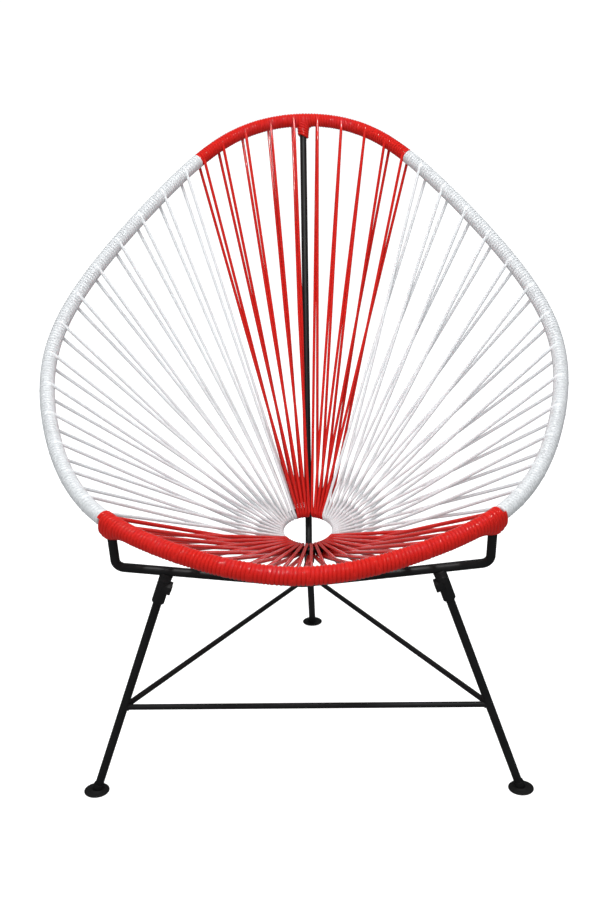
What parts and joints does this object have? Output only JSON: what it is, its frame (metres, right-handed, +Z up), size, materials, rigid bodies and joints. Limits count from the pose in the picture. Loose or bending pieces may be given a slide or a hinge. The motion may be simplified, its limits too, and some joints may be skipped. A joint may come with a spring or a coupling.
{
  "type": "acapulco chair",
  "caption": "Open lounge chair: a pear-shaped steel hoop wound with cord, cords fanned down to a seat ring, and a low three-legged steel base.",
  "frame": {"origin": "on the floor under the middle of the chair's width and depth", "axes": "+Z up, the front of the seat towards -Y, +X to the right of a person who looks at the front"},
  "size_m": [0.7611, 0.7537, 0.9139],
  "materials": {
    "steel": "satin black powder coat",
    "screw": "black oxide",
    "foot": "moulded, matt black",
    "red_cord": "smooth vinyl, soft gloss",
    "white_cord": "smooth vinyl, soft gloss"
  },
  "bodies": {
    "root": {"hoop_tube": "steel", "centre_ring": "steel", "crossbar": "steel", "spine_bar": "steel", "leg_socket_left": "steel", "leg_socket_right": "steel", "leg_socket_rear": "steel", "socket_boss_left": "steel", "socket_boss_right": "steel", "socket_boss_rear": "steel", "set_screw_left": "screw", "set_screw_right": "screw", "set_screw_rear": "screw", "front_leg_left": "steel", "front_leg_right": "steel", "rear_leg": "steel", "stretcher": "steel", "brace_left": "steel", "brace_right": "steel", "foot_left": "foot", "foot_right": "foot", "foot_rear": "foot", "cord_back": "red_cord", "cord_left": "white_cord", "cord_right": "white_cord", "cord_front": "red_cord"}
  },
  "joints": []
}
